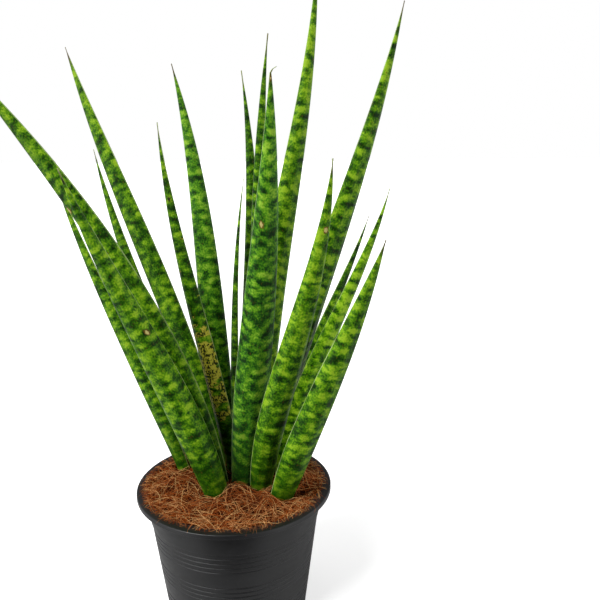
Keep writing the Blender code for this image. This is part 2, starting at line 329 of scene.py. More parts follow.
    def _tone(self, tree: Tree, skin: Socket, phase: Socket, share: Socket) -> Node:
        """Tone of the flesh.

        Args:
            tree: The material's node tree.
            skin: Place on the leaf's skin, in millimetres.
            phase: How many bands lie below.
            share: Share of the leaf's length.

        Returns:
            The tone, from 0 in the darkest bands to 1 in the lightest blotches.
        """
        add = partial(add_node, tree)
        for size, sway in self.SWAYS:
            phase = add("Math", clouds(tree, skin, size), sway, phase, operation="MULTIPLY_ADD")
        turns = add("Math", phase, tau, operation="MULTIPLY")
        wave = add("Math", turns, operation="SINE")
        light = add("MapRange", wave, *self.BAND_EDGES, interpolation_type="SMOOTHSTEP")
        base = self.MIDDLE_TONE + self.lift
        tone = add("Math", light, self.bands, base, operation="MULTIPLY_ADD")
        sunlit = add("MapRange", share, *self.SUNLIT)
        tone = add("Math", tone, sunlit, operation="ADD")
        across, along = self.BLOTCH
        cells = add("VectorMath", skin, (1 / across, 1 / along, 1), operation="MULTIPLY")
        spread = {"Vector": cells, "Scale": 1.0, "Smoothness": 0.4, "Randomness": 0.85}
        apart = add("TexVoronoi", inputs=spread, feature="SMOOTH_F1")
        blotch = add("Math", self.BLOTCH_RADIUS, apart, operation="SUBTRACT")
        tone = add("Math", blotch, self.BLOTCH_WEIGHT, tone, operation="MULTIPLY_ADD")
        for size, detail, weight in self.CLOUDS:
            cloud = clouds(tree, skin, size, detail)
            tone = add("Math", cloud, weight, tone, operation="MULTIPLY_ADD")
        return tone

    def _aged_and_foot_shade(self, tree: Tree, colour: Node, skin: Socket, share: Socket, yellow: Socket) -> Node:
        """The deep green foot with its painted shade, the dry brown tip, and the yellow patches of a
        leaf that lost its green.

        Args:
            tree: The material's node tree.
            colour: The green flesh.
            skin: Place on the leaf's skin, in millimetres.
            share: Share of the leaf's length.
            yellow: How likely a yellow patch is there.

        Returns:
            The aged colour.
        """
        add = partial(add_node, tree)
        if self.yellow:
            cloud = clouds(tree, skin, self.PATCH)
            cloud = add("Math", cloud, self.PATCH_SWAY, yellow, operation="MULTIPLY_ADD")
            patch = add("MapRange", cloud, *self.PATCH_EDGES)
            clusters = clouds(tree, skin, self.SPECKLE_CLUSTER)
            speckle = clouds(tree, skin, self.SPECKLE_SIZE, 3.0)
            speckle = add("Math", clusters, 0.7, speckle, operation="MULTIPLY_ADD")
            dark = add("MapRange", speckle, *self.SPECKLE_EDGES)
            spotted = add("Mix", dark, linear(self.MUSTARD), linear(self.SPECKLE), data_type="RGBA")
            colour = add("Mix", patch, colour, spotted, data_type="RGBA")
        # Painted shade: just above the coir, where the leaves crowd, the foot fades into a plain deep green
        uneven = add("Math", clouds(tree, skin, (8, 10, 1)), 0.14, share, operation="MULTIPLY_ADD")
        foot = add("MapRange", uneven, *self.FOOT_FADE)
        colour = add("Mix", foot, colour, linear(self.FOOT), data_type="RGBA")
        crept = add("Math", clouds(tree, skin, (4, 8, 1)), 0.05, share, operation="MULTIPLY_ADD")
        dry = add("MapRange", crept, *self.DRY_TIP)
        return add("Mix", dry, colour, linear(self.DRIED), data_type="RGBA")

    def _surface(self, tree: Tree, shader: Node, skin: Socket, tone: Node) -> None:
        """Satin gloss that varies, and fine lengthwise ridges.

        Args:
            tree: The material's node tree.
            shader: Its Principled shader.
            skin: Place on the leaf's skin, in millimetres.
            tone: Tone of the flesh, as dark bands lie a little lower.
        """
        add = partial(add_node, tree)
        gloss = add("MapRange", clouds(tree, skin, (6, 20, 1), 3.0), -0.3, 0.3, *self.ROUGHNESS)
        relief = add("Math", tone, 0.12, clouds(tree, skin, self.RIDGE), operation="MULTIPLY_ADD")
        depth = self.RIDGE_DEPTH * MM
        bump = add("Bump", inputs={"Height": relief, "Strength": 0.35, "Distance": depth})
        fill(tree, shader, {"Roughness": gloss, "Normal": bump})


SKINS = {
    Skin.BANDED: LeafSkin("leaf_skin_banded"),
    Skin.BRIGHT: LeafSkin("leaf_skin_bright", lift=0.14),
    Skin.DUSKY: LeafSkin("leaf_skin_dusky", lift=-0.12),
    Skin.GLAUCOUS: LeafSkin(
        "leaf_skin_glaucous",
        tones=("#0c2e05", "#1f500a", "#407a12", "#659e1c", "#90bc34"),
        bands=0.20,
        bloom=0.22,
    ),
    Skin.PLAIN: LeafSkin(
        "leaf_skin_plain",
        slot="leaf_pale",
        tones=("#143c02", "#356806", "#5a900b", "#7cb016", "#a0cc2a"),
        lift=-0.02,
        bands=0.36,
    ),
    Skin.YELLOWED: LeafSkin("leaf_skin_yellowed", slot="leaf_yellow", lift=-0.10, yellow=True),
}


@cache
def foot_height(name: str) -> float:
    """Height of a leaf's cut foot, in metres."""
    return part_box(name)[0].z


@dataclass(frozen=True)
class Leaf:
    """One spear leaf, in millimetres and degrees.

    The middle line starts at foot, ends at tip, and leaves the straight line between them by low
    at a third of its length and by high at two thirds. back is the compass direction that the
    rounded back faces. fullness above 1 keeps the leaf broad for longer.
    """

    name: str
    foot: tuple[float, float]
    tip: tuple[float, float, float]  # x, y and the height above the rim
    low: tuple[float, float]  # x, z
    high: tuple[float, float]  # x, z
    width: float
    back: float
    fullness: float = 1.15
    skin: Skin = Skin.BANDED
    scars: tuple[tuple[float, float, float], ...] = ()  # share of the length, turn round the back, radius
    slant: float = 0.0  # how far the bands climb towards the margins, in bands
    hook: tuple[float, float] = (0.0, 0.0)  # how far the tip is bent over, x and z

    FOOT_SHARE = 0.68  # width of the foot, in widths of the leaf
    WIDEST_AT = 0.30  # share of the length
    TIP_WIDTH = 1.2
    BEND_SCALE = 13.5  # makes a bend of 1 at a third of the length 1 there
    TANGENT_STEP = 0.001  # share of the length over which a direction is taken

    def point(self, share: float) -> Vector:
        """Point of the middle line.

        Args:
            share: Share of the leaf's length, from the foot.

        Returns:
            The point, in metres.
        """
        start = Vector((self.foot[0] * MM, self.foot[1] * MM, foot_height(self.name)))
        end = Vector((self.tip[0] * MM, self.tip[1] * MM, RIM_HEIGHT * MM + self.tip[2] * MM))
        low = Vector((self.low[0], 0, self.low[1])) * MM
        high = Vector((self.high[0], 0, self.high[1])) * MM
        at_low = self.BEND_SCALE * share * (share - 2 / 3) * (share - 1)
        at_high = -self.BEND_SCALE * share * (share - 1 / 3) * (share - 1)
        return start.lerp(end, share) + low * at_low + high * at_high

    def axes(self, share: float) -> tuple[Vector, Vector, Vector]:
        """Directions along the leaf, to its side and out of its back.

        Args:
            share: Share of the leaf's length, from the foot.

        Returns:
            The three directions.
        """
        facing = Vector((cos(radians(self.back)), sin(radians(self.back)), 0))
        ahead = self.point(share + self.TANGENT_STEP)
        behind = self.point(share - self.TANGENT_STEP)
        along = (ahead - behind).normalized()
        back = (facing - along * facing.dot(along)).normalized()
        return along, along.cross(back), back

    def width_at(self, share: float) -> float:
        """Width between the margins.

        Args:
            share: Share of the leaf's length, from the foot.

        Returns:
            The width, in millimetres.
        """
        if share < self.WIDEST_AT:
            part = self.FOOT_SHARE + (1 - self.FOOT_SHARE) * sin(share / self.WIDEST_AT * pi / 2)
        else:
            part = 1 - ((share - self.WIDEST_AT) / (1 - self.WIDEST_AT)) ** self.fullness
        return max(self.width * part, self.TIP_WIDTH)


LEAVES = (  # name, foot, tip, low, high, width, back, fullness
    Leaf(
        "leaf_left_long", (-13, 5), (-225, -30, 418), (26, 16), (18, 20), 37, 215, 2.5,
        scars=((0.661, 0.0, 2.2),),
    ),
    Leaf("leaf_left_outer", (-51, 29), (-185, 60, 325), (0, 0), (-4, 0), 26, 215, 1.5),
    Leaf(
        "leaf_left_front", (-12, -24), (-128, -80, 324), (7, 0), (1, 2), 32, 262, 1.5,
        scars=((0.569, 0.5, 2.0),),
    ),
    Leaf("leaf_left_tall", (-18, 42), (-177, 110, 446), (12, 0), (5, 0), 36, 215, 2.4),
    Leaf("leaf_left_small", (-36, 60), (-152, 100, 340), (-2, 0), (-5, 0), 27, 215, 1.9, skin=Skin.DUSKY),
    Leaf("leaf_yellow_marked", (-1, 23), (-60, -5, 363), (1, 0), (-4, 0), 23, 230, 1.8, skin=Skin.YELLOWED),
    Leaf("leaf_back_left", (-13, 74), (-69, 130, 431), (3, 0), (8, 0), 31, 250, 1.9, skin=Skin.GLAUCOUS),
    Leaf("leaf_centre_slim", (-4, 55), (11, 90, 313), (-4, 0), (-6, 0), 16, 200, 1.5, skin=Skin.DUSKY),
    Leaf("leaf_back_centre", (12, 73), (9, 110, 421), (4, 0), (8, 0), 27, 260, 1.3, skin=Skin.DUSKY),
    Leaf("leaf_middle_slim", (19, 43), (42, 20, 443), (0, 0), (-4, 0), 21, 280, 1.7, skin=Skin.DUSKY),
    Leaf(
        "leaf_centre_front", (9, -3), (47, -60, 407), (2, 0), (5, 0), 34, 285, 1.85,
        skin=Skin.GLAUCOUS, scars=((0.688, -0.33, 1.8), (0.975, 0.0, 1.6)), slant=0.9, hook=(5, -3),
    ),
    Leaf("leaf_tallest", (25, 59), (90, 90, 528), (-11, 0), (0, 0), 34, 300, 1.4, skin=Skin.BRIGHT),
    Leaf("leaf_right_tall", (26, 27), (165, 0, 466), (-5, 0), (2, 0), 34, 320, 1.9),
    Leaf(
        "leaf_right_front", (27, -10), (97, -90, 330), (-4, 0), (4, 0), 29, 290, 1.7,
        scars=((0.835, 0.08, 2.2),),
    ),
    Leaf("leaf_right_back", (50, 46), (146, 90, 268), (-15, 0), (-8, 0), 25, 330, 1.5, skin=Skin.DUSKY),
    Leaf("leaf_right_pale", (50, 12), (157, 10, 301), (-15, 0), (-5, 0), 27, 320, 1.6, skin=Skin.PLAIN),
    Leaf("leaf_right_low", (45, -27), (141, -90, 264), (-2, 0), (1, 0), 32, 300, 1.9),
)


@dataclass(frozen=True)
class LeafShaper:
    """Builds the fine skin of a leaf over the plain solid that the frame holds."""

    stations: int = 110
    back_points: int = 25
    channel_points: int = 15
    back_depth: float = 0.42
    channel_depth: float = 0.20
    channel_loss: float = 0.9  # how much of its depth the channel loses towards the tip
    margin_share: float = 0.045
    hook_share: float = 0.986  # where a hooked tip starts to bend
    furrow_depth: float = 0.012  # of the faint furrows along the back, as a share of the width
    furrow_turns: float = 9.0
    furrow_fade: float = 4.0  # how quickly they start below the tip
    band_pitch: tuple[float, float] = (13.0, 11.0)  # millimetres between bands, at the foot and the tip
    band_shift: float = 0.37  # bands by which each leaf starts after the one before
    slant_curve: float = 1.5
    back_girth: float = 0.66  # way over the back from its middle to a margin, as a share of the width
    channel_girth: float = 0.5
    channel_shift: float = 200.0  # millimetres from the back's pattern to the channel's
    leaf_shift: float = 53.0  # millimetres from one leaf's pattern to the next one's
    yellow_middle: float = 0.36  # share of the length where a yellowed skin has most of its patches
    yellow_reach: float = 0.14

    def outline(self, width: float, share: float) -> list[tuple[float, float, float, float]]:
        """Points across a leaf, over its back, round a margin, along the channel and round the other.

        Args:
            width: The width there, in millimetres.
            share: Share of the leaf's length.

        Returns:
            Side and back position of each point, the turn round the back or across the channel
            from -1 to 1, and 1 in the channel, 0 on the back or 0.5 on a margin.
        """
        depth = self.back_depth * width
        channel = self.channel_depth * width * (1 - self.channel_loss * share**1.5)
        opening = width * (0.5 - self.margin_share)
        fade = min(1.0, (1 - share) * self.furrow_fade)
        points = []
        for step in range(self.back_points):
            angle = pi * step / (self.back_points - 1)
            furrow = self.furrow_depth * width * fade * sin(angle) * sin(angle * self.furrow_turns)
            reach = depth + furrow
            points.append((width / 2 * cos(angle), reach * sin(angle), 1 - 2 * angle / pi, 0))
        middle = (width / 2 + opening) / 2
        round_off = -(width / 2 - opening) / 2
        points.append((-middle, round_off, -1, 0.5))
        for step in range(self.channel_points):
            angle = pi * (1 - step / (self.channel_points - 1))
            points.append((opening * cos(angle), channel * sin(angle), 1 - 2 * angle / pi, 1))
        points.append((middle, round_off, 1, 0.5))
        return [(side, back - depth / 4, turn, inside) for side, back, turn, inside in points]

    def build(self, leaf: Leaf, number: int, finish: Material) -> None:
        """Build and mark one leaf, in place of its plain solid.

        Args:
            leaf: The leaf.
            number: Its place in the list, which shifts its pattern.
            finish: Its material.
        """
        foot = foot_height(leaf.name)
        length = (leaf.point(1) - leaf.point(0)).length / MM
        first_pitch, last_pitch = self.band_pitch
        points, skin, growth, marks = [], [], [], []
        phase = number * self.band_shift
        for station in range(self.stations):
            share = station / (self.stations - 1)
            along, side, back = leaf.axes(share)
            bent = max(0.0, (share - self.hook_share) / (1 - self.hook_share))
            middle = leaf.point(share) + Vector((leaf.hook[0], 0, leaf.hook[1])) * bent * MM
            width = leaf.width_at(share)
            faded = exp(-(((share - self.yellow_middle) / self.yellow_reach) ** 4))
            phase += length / (self.stations - 1) / (first_pitch + (last_pitch - first_pitch) * share)
            for across, out, turn, inside in self.outline(width, share):
                point = middle + (side * across + back * out) * MM
                if station == 0:
                    point += along * (foot - point.z) / along.z
                points.append(point)
                half = width * (self.back_girth if inside < 1 else self.channel_girth)
                place = turn * half + inside * self.channel_shift
                skin.append((place, share * length, number * self.leaf_shift))
                from_edge = (1 - abs(turn)) * half if inside != 0.5 else 0
                growth.append((share, from_edge, phase - leaf.slant * abs(turn) ** self.slant_curve))
                depths = [
                    1 - hypot(share * length - at * length, turn * half - way * half) / radius
                    for at, way, radius in leaf.scars
                    if inside == 0
                ]
                marks.append((float(inside == 1), max([0.0, *depths]), faded))
        around = self.back_points + self.channel_points + 2
        faces = ring_faces(self.stations, around)
        piece = add_piece(f"{leaf.name}_skin", np.array(points), faces, finish)
        for name, rows in (("skin", skin), ("growth", growth), ("marks", marks)):
            add_marks(piece, name, np.array(rows))
        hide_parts(leaf.name)


@dataclass(frozen=True)
class LeafClump:
    """All the leaves of the plant."""

    leaves: tuple[Leaf, ...] = LEAVES
    shaper: LeafShaper = LeafShaper()

    def build(self) -> None:
        """Build every leaf with the finish of its kind."""
        finishes = {kind: skin.dress() for kind, skin in SKINS.items()}
        for number, leaf in enumerate(self.leaves):
            self.shaper.build(leaf, number, finishes[leaf.skin])


# Pot


@dataclass(frozen=True)
class MouldedPolypropylene:
    """Black polypropylene, injection moulded and left as it came, handled and a little dusty.

    The carbon black hides any depth, so it looks like a dark satin skin with faint dust in the
    grooves and soft flow marks.
    """

    body: str = "#060607"
    worn: str = "#141416"
    dust: str = "#6d675f"
    roughness: tuple[float, float] = (0.30, 0.46)
    ior: float = 1.49
    film: float = 0.03  # a film of dust that lightens the pot where it turns away

    def dress(self) -> Material:
        """Build the material.

        Returns:
            The finish of the pot.
        """
        made, tree, shader = new_material("moulded_polypropylene")
        add = partial(add_node, tree)
        place = add("TexCoord").outputs["Object"]
        flow = add("MapRange", clouds(tree, place, (0.045, 0.045, 0.012), 3.0), -0.3, 0.3)
        colour = add("Mix", flow, linear(self.body), linear(self.worn), data_type="RGBA")
        specks = clouds(tree, place, (0.0016, 0.0016, 0.0016))
        specks = add("MapRange", specks, 0.20, 0.28, 0.0, 0.6)
        patches = add("MapRange", clouds(tree, place, (0.02, 0.02, 0.02)), -0.05, 0.20)
        dusty = add("Math", specks, patches, operation="MULTIPLY")
        colour = add("Mix", dusty, colour, linear(self.dust), data_type="RGBA")
        matt = clouds(tree, place, (0.01, 0.01, 0.004), 3.0)
        matt = add("MapRange", matt, -0.3, 0.3, *self.roughness)
        pores = clouds(tree, place, (0.0007, 0.0007, 0.0007))
        bump = add("Bump", inputs={"Height": pores, "Strength": 0.25, "Distance": 0.1 * MM})
        sheen = {"Sheen Weight": self.film, "Sheen Roughness": 0.5}
        fill(tree, shader, {"Base Color": colour, "Roughness": matt, "Normal": bump, "IOR": self.ior} | sheen)
        return made


@dataclass(frozen=True)
class NurseryPot:
    """The tapered pot: lip, smooth collar, grooves, foot notches and drain holes, in millimetres."""

    base_radius: float = 72.5
    lip_overhang: float = 9.5
    lip_thickness: float = 2.0
    lip_skirt: float = 4.5
    wall: float = 2.0
    floor: float = 3.0
    edge_round: float = 0.8
    collar_height: float = 29.0
    collar_step: float = 0.8
    foot_band: float = 20.0
    band_pitch: float = 34.0
    grooves_per_band: int = 4
    groove_pitch: float = 5.2
    groove_width: float = 1.9
    groove_depth: float = 0.62
    segments: int = 240
    notch_count: int = 8
    notch_width: float = 12.0
    notch_height: float = 5.0
    notch_depth: float = 7.0
    drain_count: int = 4
    drain_radius: float = 4.0
    drain_circle: float = 40.0

    def outside(self, height: float) -> float:
        """Radius of the plain wall's outer face at a height."""
        return self.base_radius + (RIM_RADIUS - self.lip_overhang - self.base_radius) * height / RIM_HEIGHT

    def inside(self, height: float) -> float:
        """Radius of the wall's inner face at a height."""
        return self.outside(height) - self.wall

    def groove_heights(self) -> list[float]:
        """Find the middle heights of the grooves.

        Returns:
            The heights, in millimetres, from the lowest up.
        """
        top = RIM_HEIGHT - self.collar_height - self.groove_pitch
        room = top - self.foot_band - (self.grooves_per_band - 1) * self.groove_pitch
        heights = []
        for band in range(1 + int(room / self.band_pitch)):
            for groove in range(self.grooves_per_band):
                heights.append(top - band * self.band_pitch - groove * self.groove_pitch)
        return sorted(heights)

    def rounded(self, corner: tuple[float, float], start: float, radius: float) -> list[tuple[float, float]]:
        """A quarter of an arc as five profile points, anticlockwise from an angle in degrees."""
        angles = [radians(start + 22.5 * step) for step in range(5)]
        return [(corner[0] + radius * cos(a), corner[1] + radius * sin(a)) for a in angles]

    def profile(self) -> list[tuple[float, float]]:
        """Draw the pot's half section.

        Returns:
            Radius and height of each point, from the foot's edge over the lip to the floor's edge.
        """
        top = RIM_HEIGHT
        bend = self.edge_round
        points = self.rounded((self.base_radius - bend, bend), -90, bend)
        plain = 2 * self.edge_round
        for height in self.groove_heights():
            while height - plain > self.groove_pitch:
                points.append((self.outside(plain), plain))
                plain += self.groove_pitch / 2
            for step in range(-1, 10):
                turn = step / 8
                at = height + (turn - 0.5) * self.groove_width
                sunk = sin(min(max(turn, 0), 1) * pi) ** 1.5
                points.append((self.outside(at) - self.groove_depth * sunk, at))
            plain = height + self.groove_pitch / 2
        collar = top - self.collar_height
        under = top - self.lip_thickness
        skirt = top - self.lip_skirt
        proud = self.collar_step
        points.append((self.outside(collar - 0.3), collar - 0.3))
        points += self.rounded((self.outside(collar) + proud - 0.4, collar + 0.4), -45, 0.4)[:3]
        for step in range(1, 9):
            at = collar + (under - 1 - collar) * step / 8
            points.append((self.outside(at) + proud, at))
        points.append((self.outside(under) + proud + 0.5, under))
        points.append((RIM_RADIUS - self.lip_thickness - 0.5, under))
        points.append((RIM_RADIUS - self.lip_thickness, under - 0.5))
        points.append((RIM_RADIUS - self.lip_thickness, skirt))
        points += self.rounded((RIM_RADIUS - bend / 2, skirt + bend / 2), -90, bend / 2)
        points += self.rounded((RIM_RADIUS - bend, top - bend), 0, bend)
        points.append((self.inside(top) + 0.5, top))
        points.append((self.inside(top), top - 0.5))
        points.append((self.inside(self.floor), self.floor))
        return points

    def cutter(self) -> bpy.types.Object:
        """Make blocks for the foot notches and rods for the drain holes.

        Returns:
            One object that holds them all.
        """
        drains = bmesh.new()
        for index in range(self.notch_count):
            turn = Matrix.Rotation(tau * (index + 0.5) / self.notch_count, 4, "Z")
            reach = (2 * self.notch_depth, self.notch_width, 2 * self.notch_height, 1)
            shape = turn @ Matrix.Translation((self.base_radius, 0, 0)) @ Matrix.Diagonal(reach)
            bmesh.ops.create_cube(drains, size=1, matrix=shape)
        for index in range(self.drain_count):
            turn = Matrix.Rotation(tau * index / self.drain_count, 4, "Z")
            bmesh.ops.create_cone(
                drains,
                cap_ends=True,
                segments=32,
                radius1=self.drain_radius,
                radius2=self.drain_radius,
                depth=4 * self.floor,
                matrix=turn @ Matrix.Translation((self.drain_circle, 0, 0)),
            )
        bmesh.ops.scale(drains, vec=(MM, MM, MM), verts=drains.verts)
        mesh = bpy.data.meshes.new("drains")
        drains.to_mesh(mesh)
        drains.free()
        made = bpy.data.objects.new("drains", mesh)
        bpy.context.scene.collection.objects.link(made)
        return made

    def build(self) -> None:
        """Build the pot, in place of its plain solid."""
        profile = self.profile()
        angles = [tau * step / self.segments for step in range(self.segments)]
        points = [(r * cos(a), r * sin(a), h) for r, h in profile for a in angles]
        faces = ring_faces(len(profile), self.segments)
        pot = add_piece("nursery_pot", np.array(points) * MM, faces, MouldedPolypropylene().dress())
        cutter = self.cutter()
        drain = pot.modifiers.new("drain", "BOOLEAN")
        drain.operation = "DIFFERENCE"
        drain.solver = "EXACT"
        drain.object = cutter
        bpy.context.view_layer.objects.active = pot
        bpy.ops.object.modifier_apply(modifier=drain.name)
        bpy.data.objects.remove(cutter, do_unlink=True)
        pot.data.shade_smooth()
        pot.data.set_sharp_from_angle(angle=radians(50))
        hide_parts("pot")


# Coir, mix and rhizome


@dataclass(frozen=True)
class CoirFibre:
    """Coconut husk fibre, retted, dried and teased apart.

    Each strand is a stiff orange-brown hair; old ones are darker and split ones are straw pale. Their
    shades also hold painted shade and light: strands low in the tangle are darker, those on top lighter.
    """

    name: str
    old: str = "#2e0e04"
    middle: str = "#a4501a"
    split: str = "#ecb878"
    roughness: float = 0.62

    def dress(self) -> Material:
        """Build the material.

        Returns:
            The finish of the strands, which read their own shade from the mesh.
        """
        made, tree, shader = new_material(self.name)
        add = partial(add_node, tree)
        strand = add("Attribute", attribute_name="strand").outputs["Vector"]
        shade, along, _ = add("SeparateXYZ", strand).outputs
        # Old to middle brown, then straw pale: partly age, partly painted shade low and painted light on top
        age_and_depth_tone = add("MapRange", shade, 0.0, 0.5)
        colour = add("Mix", age_and_depth_tone, linear(self.old), linear(self.middle), data_type="RGBA")
        split = add("MapRange", shade, 0.6, 1.0)
        colour = add("Mix", split, colour, linear(self.split), data_type="RGBA")
        own = add("Math", shade, 400.0, operation="MULTIPLY")
        streak = add("CombineXYZ", own, along).outputs[0]
        fleck = add("Math", clouds(tree, streak, (1, 3, 1)), 0.9, 1.0, operation="MULTIPLY_ADD")
        colour = add("VectorMath", colour, fleck, operation="SCALE")
        fill(tree, shader, {"Base Color": colour, "Roughness": self.roughness, "Specular IOR Level": 0.1})
        return made


@dataclass(frozen=True)
class Crumbs:
    """What lies under the strands: husk dust, damp compost, or the fleshy skin of the rhizome.

    All three are dull and uneven, darker in the hollows of their grain and lighter on what stands out.
    """

    name: str
    dark: str
    light: str
    grain_size: float  # millimetres
    relief: float  # millimetres
    roughness: float
    span: tuple[float, float] = (-0.15, 0.15)  # of the grain, from dark to light
    strength: float = 0.8
    shine: float = 0.5

    def dress(self) -> Material:
        """Build the material.

        Returns:
            The finish.
        """
        made, tree, shader = new_material(self.name)
        add = partial(add_node, tree)
        place = add("TexCoord").outputs["Object"]
        size = self.grain_size * MM
        grain = clouds(tree, place, (size, size, size), 4.0)
        # The grain that raises the relief also sets the tone: darker in its hollows, lighter on its bumps
        dry = add("MapRange", grain, *self.span)
        colour = add("Mix", dry, linear(self.dark), linear(self.light), data_type="RGBA")
        lumps = {"Height": grain, "Strength": self.strength, "Distance": self.relief * MM}
        bump = add("Bump", inputs=lumps)
        dull = {"Roughness": self.roughness, "Specular IOR Level": self.shine}
        fill(tree, shader, {"Base Color": colour, "Normal": bump} | dull)
        return made


# The heap under the strands is brown pith painted near black, as the shade in the gaps between strands
SHADED_PITH = Crumbs("coir_pith_painted_shade", "#090301", "#3a1806", 2.2, 1.2, 0.9, (-0.08, 0.18), 1.0, 0.05)
COMPOST = Crumbs("damp_compost", "#1c100a", "#5a3a22", 3.0, 1.5, 0.95)
ROOTSTOCK = Crumbs("rhizome_skin", "#8a6a34", "#c9a868", 6.0, 0.4, 0.55)


@dataclass(frozen=True)
class CoirBed:
    """The heap of coir that fills the top of the pot, in millimetres."""

    pot: NurseryPot
    drop: float = 1.5
    crown: float = 5.0
    bottom_depth: float = 31.7
    rings: int = 70
    around: int = 200
    mounds: tuple[tuple[float, float, float, float], ...] = (
        (4, -32, 14, 8),
        (36, -47, 13, 5),
        (76, 8, 18, 5),
        (-62, -14, 22, 4),
        (-38, -38, 12, -4),
        (-24, -4, 14, -5),
        (66, -26, 12, -4),
        (20, -60, 14, -3),
    )
    tuft_count: int = 150
    tuft_spread: tuple[float, float] = (3.0, 7.0)
    tuft_lift: float = 2.6
    gap: float = 0.3  # to the wall, at the bottom
    edge_gap: float = 0.2  # to the wall, at the top
    edge_fade: float = 6.0  # how quickly mounds start inside the edge
    crumb: float = 0.45  # how rough the heap is
    smooth_rings: int = 4  # rings at the edge that are smoother
    sunk: float = 1.6  # how far the heap lies below its strands
    seed: int = 11

    def edge(self) -> float:
        """Radius of the heap where it meets the pot."""
        return self.pot.inside(RIM_HEIGHT - self.drop) - self.edge_gap

    def height(self, x: np.ndarray, y: np.ndarray) -> np.ndarray:
        """Height of the heap's surface, with its mounds and the humps and hollows between tufts.

        Args:
            x: Places, in millimetres.
            y: Places, in millimetres.

        Returns:
            The heights, in millimetres.
        """
        away = np.hypot(x, y) / self.edge()
        height = RIM_HEIGHT - self.drop + self.crown * (1 - np.minimum(away, 1.0) ** 2)
        fade = np.clip((1 - away) * self.edge_fade, 0, 1)
        for mound_x, mound_y, spread, lift in self.mounds:
            near = np.hypot(x - mound_x, y - mound_y) / spread
            height = height + lift * np.exp(-near * near) * fade
        rng = np.random.default_rng(self.seed)
        tufts = np.zeros(x.shape)
        for _ in range(self.tuft_count):
            tuft_x, tuft_y = rng.uniform(-self.edge(), self.edge(), 2)
            spread = rng.uniform(*self.tuft_spread)
            near = np.hypot(x - tuft_x, y - tuft_y) / spread
            tufts += rng.uniform(-self.tuft_lift, self.tuft_lift) * np.exp(-near * near)
        return height + tufts * fade

    def build(self) -> None:
        """Build the heap and the strands on it."""
        self.heap()
        rng = np.random.default_rng(self.seed)
        for layer in STRAND_LAYERS:
            layer.build(self, rng)

    def heap(self) -> None:
        """Build the solid heap under the strands, in place of its plain solid."""
        angles = np.linspace(0, tau, self.around, endpoint=False)
        bottom = RIM_HEIGHT - self.bottom_depth
        rows = []
        for radius, height in (
            (self.pot.inside(bottom) - self.gap, bottom),
            (self.edge(), RIM_HEIGHT - self.drop),
        ):
            level = np.full(self.around, height)
            rows.append(np.stack([radius * np.cos(angles), radius * np.sin(angles), level], 1))
        rng = np.random.default_rng(self.seed)
        for ring in range(1, self.rings):
            radius = self.edge() * (1 - ring / self.rings)
            x, y = radius * np.cos(angles), radius * np.sin(angles)
            rough = rng.normal(0, self.crumb, self.around) * min(1.0, ring / self.smooth_rings)
            rows.append(np.stack([x, y, self.height(x, y) - self.sunk + rough], 1))
        points = np.concatenate(rows) * MM
        made = add_piece("coir_heap", points, ring_faces(len(rows), self.around), SHADED_PITH.dress())
        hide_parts("coir_mulch")


